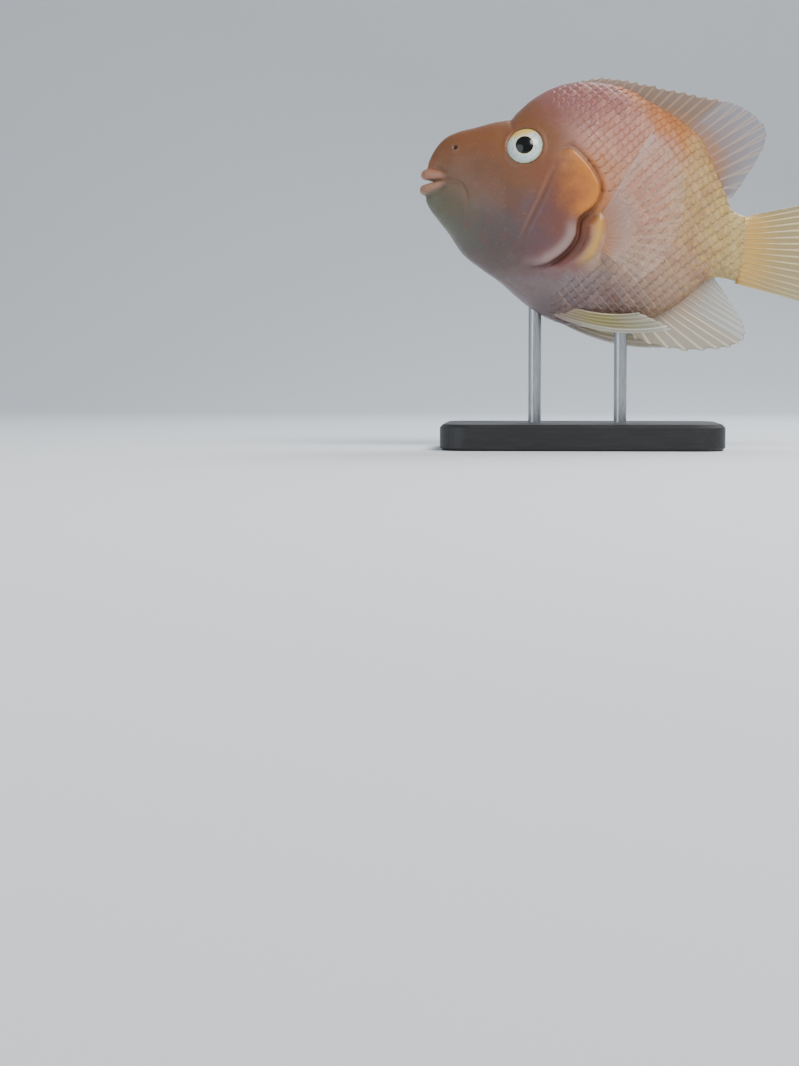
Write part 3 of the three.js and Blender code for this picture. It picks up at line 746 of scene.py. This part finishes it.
roots = []
for side in (-1, 1):
    for row in range(-ROWS_EACH_WAY, ROWS_EACH_WAY + 1):
        for column in range(SCALES_IN_ROW):
            along = FIRST_SCALE + SCALE_PITCH * (column + 0.5 * (row % 2))
            roots.append((along, ROW_PITCH * row, side))
roots = np.array(roots)
start = np.array([np.interp(a, ring_along, arcs[:, 0]) for a in roots[:, 0]])
end = np.array([np.interp(a, ring_along, arcs[:, -1]) for a in roots[:, 0]])
_, root_up = on_flank(roots[:, 0], roots[:, 1], roots[:, 2])
behind, _ = beside(SCALES_BEHIND, roots[:, 0], root_up)
margin = EDGE_MARGIN + EDGE_MARGIN * ramp(roots[:, 0], 0.135, 0.148)
keep = (roots[:, 1] > start + margin) & (roots[:, 1] < end - margin) & (behind > 0)
keep &= roots[:, 0] < LAST_SCALE
roots = roots[keep]
shift = np.array([[random.uniform(-1, 1) for _ in range(4)] for _ in roots])

bm = bmesh.new()
bmesh.ops.create_grid(bm, x_segments=SCALE_GRID, y_segments=SCALE_GRID, size=0.5)
bmesh.ops.solidify(bm, geom=bm.faces, thickness=0.5)
bmesh.ops.recalc_face_normals(bm, faces=bm.faces)
bm.verts.index_update()
corner_lie = np.array([v.co for v in bm.verts])
faces = [tuple(v.index for v in face.verts) for face in bm.faces]
bm.free()
spread = corner_lie[:, :2].max(0) - corner_lie[:, :2].min(0)
down = (corner_lie[:, 0] - corner_lie[:, 0].min()) / spread[0]
across = (corner_lie[:, 1] - corner_lie[:, 1].min()) / spread[1] - 0.5
under = corner_lie[:, 2] < corner_lie[:, 2].mean()

count = len(roots)
size = 1 - 0.3 * ramp(roots[:, 0], 0.130, 0.15) - 0.1 * np.abs(shift[:, 3])
stand_out = ramp(behind[keep], -0.002, SCALE_FADE) * (1 - 0.8 * ramp(roots[:, 0], 0.135, 0.15))
stand_out = (0.1 + 0.9 * stand_out)[:, None]
long = SCALE_LONG * size[:, None]
high = SCALE_HIGH * (1 - 0.25 * ramp(roots[:, 0], 0.125, 0.15))[:, None]
reach = down[None, :] * (1 - TIP_ROUNDING * (2 * across[None, :]) ** 2)
along = roots[:, 0, None] + long * (reach - ROOT_AHEAD) + SCALE_JITTER * shift[:, 0, None]
arc = roots[:, 1, None] + high * across[None, :] * (1 - 0.25 * (1 - down[None, :]) ** 2)
arc = np.clip(arc, start[keep][:, None], end[keep][:, None])
side = np.repeat(roots[:, 2, None], along.shape[1], 1)
along, arc, side = along.ravel(), arc.ravel(), side.ravel()
step = 0.0004
here, _ = on_flank(along, arc, side)
back, _ = on_flank(along + step, arc, side)
over, _ = on_flank(along, arc + step, side)
facing = np.cross(back - here, over - here)
facing /= np.maximum(np.linalg.norm(facing, axis=1), 1e-12)[:, None]
facing *= (np.sign(facing[:, 1]) * side)[:, None]
at_tip = ROOT_SUNK + SCALE_LIFT * (stand_out + 0.2 * shift[:, 1, None])
lift = at_tip * down[None, :] - ROOT_SUNK
lift = lift + SCALE_BULGE * (1 - (2 * across[None, :]) ** 2) * down[None, :] * stand_out
lift = lift - FRONT_SUNK * (1 - stand_out)
lift = lift - SCALE_THICK * under[None, :]
spots = here + facing * lift.ravel()[:, None]

scales = bpy.data.meshes.new("scales")
numbers = np.arange(count)[:, None, None] * len(corner_lie) + np.array(faces)[None]
scales.from_pydata(spots.tolist(), [], numbers.reshape(-1, 4).tolist())
patch_uv = scales.uv_layers.new(name="OFBake")
lie_uv = scales.uv_layers.new(name="lie")
loop_vert = np.empty(len(scales.loops), int)
scales.loops.foreach_get("vertex_index", loop_vert)
scale_of = loop_vert // len(corner_lie)
lie = np.stack((down, across + 0.5), 1)[loop_vert % len(corner_lie)]
root_place = np.stack((
    0.02 + 0.9 * (roots[:, 0] - COAT_FROM) / COAT_LONG,
    0.25 + 0.5 * (roots[:, 2] > 0) + 0.22 * roots[:, 1] / COAT_HALF_ROUND,
), 1)
patch_uv.data.foreach_set("uv", (root_place[scale_of] + PATCH * (lie - 0.5)).ravel())
lie_uv.data.foreach_set("uv", lie.ravel())
for name, values in (("tone", shift[:, 2]), ("clear_of_skin", ramp(behind[keep], 0.0, 0.012))):
    layer = scales.attributes.new(name, "FLOAT", "POINT")
    layer.data.foreach_set("value", np.repeat(values, len(corner_lie)))
scales.polygons.foreach_set("use_smooth", np.ones(len(scales.polygons), bool))
scales.update()

scale_material, shader = material_of("pearly_scales")
tree = scale_material.node_tree
place = fish_place(tree)
skin = fish_colour(tree, place)
lie = add_node(tree, "ShaderNodeUVMap", {"uv_map": "lie"})
down = lie.node("ShaderNodeSeparateXYZ", (), {0: lie})
tone = attribute(tree, "tone")
clear = attribute(tree, "clear_of_skin")
# Painted shade darkens each scale's root, under the scale ahead, and a painted highlight lightens
# its hind edge.
skin = skin.blend(colour("8c4c2c"), 0.09 * clear * (1 - down.ramp(0.35, 0.62)))
skin = skin.blend(colour("e4b498"), 0.05 * clear * down.ramp(0.74, 0.96))
skin = skin.blend(colour("a05a40"), 0.14 * clear * tone.ramp(0.0, 1.0))
skin = skin.blend(colour("e8b494"), 0.14 * clear * (0 - tone).ramp(0.0, 1.0))
specks = noise(place, 1100.0, 3.0).ramp(0.58, 0.7)
skin = skin.blend(colour("e8c090"), 0.2 * clear * specks)
behind = place.node("ShaderNodeSeparateXYZ", (), {0: place}).ramp(0.100, 0.140)
skin = skin.blend(colour("a06a50"), 0.3 * behind * noise(place, 210.0, 3.0, 0.6).ramp(0.5, 0.62))
skin = skin.blend(colour("e6b44a"), 0.6 * behind * noise(place, 480.0, 4.0, 0.7).ramp(0.52, 0.64))
plug(shader, "Base Color", skin)
plug(shader, "Roughness", 0.38 + 0.2 * noise(place, 300.0) + 0.04 * clear)
ribs = noise(place, 1800.0, 2.0)
roughen(shader, ribs, 0.2, 0.0002)
shader.inputs["Subsurface Weight"].default_value = 0.1
shader.inputs["Subsurface Radius"].default_value = (1.0, 0.5, 0.25)
shader.inputs["Subsurface Scale"].default_value = 0.0015
shader.inputs["Coat Weight"].default_value = 0.06
shader.inputs["Coat Roughness"].default_value = 0.3
shader.inputs["Specular IOR Level"].default_value = 0.3
scales.materials.append(scale_material)
scale_coat = bpy.data.objects.new("scale_coat", scales)
bpy.context.collection.objects.link(scale_coat)
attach(scale_coat, "root")

# Fins
# Thin clear webs on bony rays, spines in front and soft branching rays behind. Each grows out
# of the body at its base, and the rays stand up from both faces of the web.

RAY_STEPS = 12
FIN_ROWS = 26


def fin_mesh(rays, base, tips, ray, web, notch, spines, placed, seed, flesh=0.0004):
    """A fin as one closed sheet with ridged rays, swollen by so much flesh at its base. It
    carries masks for its rays, its spines and the way from base to edge."""
    chance = random.Random(seed)
    columns = RAY_STEPS * (rays - 1)
    bm = bmesh.new()
    bmesh.ops.create_grid(bm, x_segments=columns, y_segments=FIN_ROWS, size=0.5)
    flat = np.array([v.co for v in bm.verts])
    low, high = flat.min(0), flat.max(0)
    u = (flat[:, 0] - low[0]) / (high[0] - low[0])
    v = (flat[:, 1] - low[1]) / (high[1] - low[1])
    number = u * (rays - 1)
    from_ray = np.abs(number - np.round(number))
    spiny = ramp(spines - number, -0.6, 0.4)
    split = 0.17 * ramp(v, 0.35, 1.0) * (1 - spiny)
    crest = bump(from_ray - split, 0.085 - 0.02 * split)
    line = between(base, np.linspace(0, len(base) - 1, 200))
    run = np.concatenate(([0], np.cumsum(np.linalg.norm(np.diff(line, axis=0), axis=1))))
    start = np.stack([np.interp(u * run[-1], run, line[:, k]) for k in (0, 1)], 1)
    end = between(tips, u * (len(tips) - 1))
    way = end - start
    length = np.linalg.norm(way, axis=1)
    worn = np.array([chance.random() for _ in range(2 * rays + 2)])
    ragged = np.interp(2 * number, np.arange(2 * rays + 2), worn)
    web_here = ramp(from_ray, 0.08, 0.32) * (0.4 + 0.6 * spiny)
    v = v * (1 - (notch * web_here + 0.0006 * ragged) / length)
    flat_place = start + way * v[:, None]
    middle = placed(flat_place[:, 0], flat_place[:, 1], u, v)
    for vert, spot in zip(bm.verts, middle):
        vert.co = spot
    bm.normal_update()
    half = web[0] + (web[1] - web[0]) * v
    half = 0.5 * (half + (ray[0] + (ray[1] - ray[0]) * v - half) * crest)
    half += flesh * bump(v, 0.16) * np.sqrt(1 - 0.9 * (2 * u - 1) ** 2)
    masks = {"ray": crest, "outwards": v, "spiny": spiny}
    layers = [(bm.verts.layers.float.new(name), mask.tolist()) for name, mask in masks.items()]
    for i, vert in enumerate(bm.verts):
        for layer, mask in layers:
            vert[layer] = mask[i]
    front = list(bm.verts)
    ways = [float(half[i]) * vert.normal for i, vert in enumerate(front)]
    copy = bmesh.ops.duplicate(bm, geom=list(bm.verts) + list(bm.edges) + list(bm.faces))
    twin = copy["vert_map"]
    for vert, way in zip(front, ways):
        twin[vert].co = vert.co - way
        vert.co = vert.co + way
    bmesh.ops.reverse_faces(
        bm, faces=[g for g in copy["geom"] if isinstance(g, bmesh.types.BMFace)],
    )
    bmesh.ops.bridge_loops(bm, edges=[e for e in bm.edges if e.is_boundary])
    bmesh.ops.recalc_face_normals(bm, faces=bm.faces)
    return bm


def fin_material(name, root, web, ray, tip, web_alpha, ray_alpha, spine, spine_web, spine_alpha):
    """A clear web with paler, more solid rays. root: the flesh colour at the base. The spines
    and the web between them have colours of their own."""
    made, shader = material_of(name)
    tree = made.node_tree
    place = fish_place(tree)
    crest = attribute(tree, "ray")
    outwards = attribute(tree, "outwards")
    cloud = noise(place, 260.0, 3.0)
    fin = add_node(tree, "ShaderNodeRGB")
    fin.socket.default_value = colour(web)
    spiny = attribute(tree, "spiny")
    fin = fin.blend(colour(tip), outwards.ramp(0.45, 1.0))
    fin = fin.blend(colour(spine_web), 0.8 * spiny)
    fin = fin.blend(colour(ray), 0.85 * crest)
    fin = fin.blend(colour(spine), 0.9 * spiny * crest)
    base = 1 - (outwards + 0.3 * (cloud - 0.5)).ramp(0.05, 0.5)
    fin = fin.blend(colour(root), 0.85 * base)
    joints = outwards * 260.0 + 3.0 * cloud
    joints = joints.maths("SINE", joints)
    fin = fin.blend(colour("f6ead2"), 0.12 * crest * joints.ramp(0.2, 1.0))
    plug(shader, "Base Color", fin)
    solid = web_alpha + (ray_alpha - web_alpha) * crest
    solid = solid + spine_alpha * spiny * (1 - solid)
    solid = solid + (1 - solid) * 0.85 * base
    plug(shader, "Alpha", solid)
    plug(shader, "Roughness", 0.3 + 0.15 * cloud)
    grain = noise(place, 1400.0, 2.0)
    roughen(shader, grain, 0.2, 0.0002)
    shader.inputs["Coat Weight"].default_value = 0.3
    shader.inputs["Coat Roughness"].default_value = 0.15
    return made


def add_fin(name, bm, material):
    piece = add_piece(name + "_web", bm, material)
    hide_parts(name)
    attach(piece, "root")


FIN_WAVE = 0.0012
FIN_WAVES = 9


def on_midline(along, up, u, v):
    return on_stand(along, FIN_WAVE * v * v * np.sin(FIN_WAVES * u), up)


dorsal_material = fin_material(
    "dorsal_web", root="a8744c", web="8c7c7c", ray="b4a090", tip="8e8e98",
    web_alpha=0.58, ray_alpha=0.84, spine="a07a58", spine_web="846850", spine_alpha=0.5,
)
add_fin("dorsal_fin", fin_mesh(
    rays=27,
    base=((0.059, 0.045), (0.077, 0.0465), (0.095, 0.042), (0.112, 0.0345), (0.124, 0.026),
          (0.1315, 0.015), (0.137, 0.003)),
    tips=((0.0625, 0.0497), (0.077, 0.0538), (0.092, 0.0534), (0.108, 0.0512), (0.126, 0.049),
          (0.145, 0.046), (0.157, 0.033), (0.1442, 0.0042)),
    ray=(0.0014, 0.0007), web=(0.0006, 0.00035), notch=0.0009, spines=16.5,
    placed=on_midline, seed=1,
), dorsal_material)

anal_material = fin_material(
    "anal_web", root="b09078", web="a8a298", ray="d8d2bc", tip="a4a8aa",
    web_alpha=0.5, ray_alpha=0.86, spine="e0dac4", spine_web="b4a488", spine_alpha=0.4,
)
add_fin("anal_fin", fin_mesh(
    rays=16,
    base=((0.098, -0.055), (0.108, -0.051), (0.118, -0.0455), (0.127, -0.038), (0.1345, -0.029)),
    tips=((0.105, -0.066), (0.125, -0.0692), (0.144, -0.067), (0.155, -0.0628),
          (0.155, -0.055), (0.150, -0.0475), (0.1435, -0.0395)),
    ray=(0.0014, 0.0007), web=(0.0006, 0.00035), notch=0.0014, spines=7.5,
    placed=on_midline, seed=2,
), anal_material)

tail_material = fin_material(
    "tail_web", root="cca050", web="a89460", ray="ccb880", tip="a09880",
    web_alpha=0.7, ray_alpha=0.93, spine="ccb880", spine_web="a89460", spine_alpha=0.0,
)
add_fin("tail_fin", fin_mesh(
    rays=16,
    base=((0.149, -0.0048), (0.149, -0.0205), (0.149, -0.0356)),
    tips=((0.186, 0.0065), (0.1945, 0.001), (0.1985, -0.009), (0.1995, -0.0185),
          (0.1985, -0.029), (0.1945, -0.0385), (0.186, -0.042)),
    ray=(0.0017, 0.0007), web=(0.0008, 0.0004), notch=0.0006, spines=-1,
    placed=on_midline, seed=3, flesh=0.0045,
), tail_material)

PECTORAL_ROOT = (0.084, -0.020)
PECTORAL_SUNK = 0.003
PECTORAL_OUT = 0.030
PECTORAL_CURL = 0.007
pectoral_material = fin_material(
    "pectoral_web", root="c08460", web="c8b8b4", ray="d8b894", tip="c4bcc4",
    web_alpha=0.04, ray_alpha=0.24, spine="d8c8b8", spine_web="c8b8b4", spine_alpha=0.3,
)
for name, side, seed in (("pectoral_fin_left", -1, 4), ("pectoral_fin_right", 1, 5)):
    hinge = float(half_width(*np.array(PECTORAL_ROOT))) - PECTORAL_SUNK

    def beside_body(along, up, u, v):
        out = hinge + PECTORAL_OUT * v - PECTORAL_CURL * v * v
        bend = BEND * np.maximum(0, along - BEND_FROM) ** 2
        at_root = BEND * (PECTORAL_ROOT[0] - BEND_FROM) ** 2
        return on_stand(along, side * out + at_root - bend, up)

    add_fin(name, fin_mesh(
        rays=14,
        base=((0.0825, -0.0135), (0.0845, -0.020), (0.0844, -0.0263)),
        tips=((0.102, 0.026), (0.114, 0.015), (0.1195, 0.0), (0.118, -0.018),
              (0.112, -0.032), (0.102, -0.041)),
        ray=(0.0011, 0.0005), web=(0.0006, 0.0003), notch=0.0006, spines=0.4,
        placed=beside_body, seed=seed,
    ), pectoral_material)

PELVIC_ROOT_OUT = (0.007, 0.0115)
PELVIC_TIP_OUT = (0.010, 0.018)
PELVIC_LIFT = 0.012
PELVIC_BOW = 0.005
pelvic_material = fin_material(
    "pelvic_web", root="a08c80", web="c0b070", ray="d4ccac", tip="b4b0a0",
    web_alpha=0.68, ray_alpha=0.84, spine="f2f0ea", spine_web="d8d2c0", spine_alpha=0.8,
)
for name, side, droop, seed in (
    ("pelvic_fin_left", -1, 0.0, 6), ("pelvic_fin_right", 1, 0.008, 7),
):
    def under_belly(along, up, u, v):
        root = PELVIC_ROOT_OUT[0] + (PELVIC_ROOT_OUT[1] - PELVIC_ROOT_OUT[0]) * u
        tip = PELVIC_TIP_OUT[0] + (PELVIC_TIP_OUT[1] - PELVIC_TIP_OUT[0]) * u
        out = root + (tip - root) * v + PELVIC_LIFT * v * (1 - v)
        hang = (4 * PELVIC_BOW * v * (1 - v) + droop * (0.1 + 0.9 * v)) * (1 - u / 2)
        straight = on_stand(along, side * out, up - hang)
        straight[:, 1] = side * out
        return straight

    add_fin(name, fin_mesh(
        rays=6,
        base=((0.063, -0.0565), (0.070, -0.0525)),
        tips=((0.1206, -0.0595), (0.114, -0.0565), (0.105, -0.0535)),
        ray=(0.0013, 0.0006), web=(0.0006, 0.0003), notch=0.001, spines=1.2,
        placed=under_belly, seed=seed, flesh=0.0012,
    ), pelvic_material)

# Display stand
# A flat painted wooden base with eased edges, and two brushed steel rods set into it that
# carry the fish under the breast and ahead of the anal fin.

base_material, shader = material_of("satin_black_base")
tree = base_material.node_tree
place = add_node(tree, "ShaderNodeTexCoord", output=3)
long_grain = place.node(
    "ShaderNodeMapping", (), {"Vector": place, "Scale": (0.08, 1.0, 1.0)},
)
pores = noise(long_grain, 900.0, 5.0, 0.65)
paint = add_node(tree, "ShaderNodeRGB")
paint.socket.default_value = colour("1b1b1d")
paint = paint.blend(colour("2b2a2b"), 0.6 * pores.ramp(0.4, 0.7))
plug(shader, "Base Color", paint)
plug(shader, "Roughness", 0.38 + 0.16 * noise(place, 60.0, 4.0))
roughen(shader, pores, 0.15, 0.0003)

rod_material, shader = material_of("brushed_steel_rod")
tree = rod_material.node_tree
place = add_node(tree, "ShaderNodeTexCoord", output=3)
drawn = place.node("ShaderNodeMapping", (), {"Vector": place, "Scale": (1.0, 1.0, 0.03)})
lines = noise(drawn, 5000.0, 3.0, 0.7)
steel = add_node(tree, "ShaderNodeRGB")
steel.socket.default_value = colour("b9bcc0")
steel = steel.blend(colour("8d9196"), 0.7 * lines.ramp(0.45, 0.65))
plug(shader, "Base Color", steel)
plug(shader, "Roughness", 0.22 + 0.2 * lines)
roughen(shader, lines, 0.1, 0.0001)
shader.inputs["Metallic"].default_value = 1.0

for name, finish in (
    ("stand_base", base_material),
    ("stand_rod_front", rod_material),
    ("stand_rod_rear", rod_material),
):
    bpy.data.objects[name].material_slots[0].material = finish
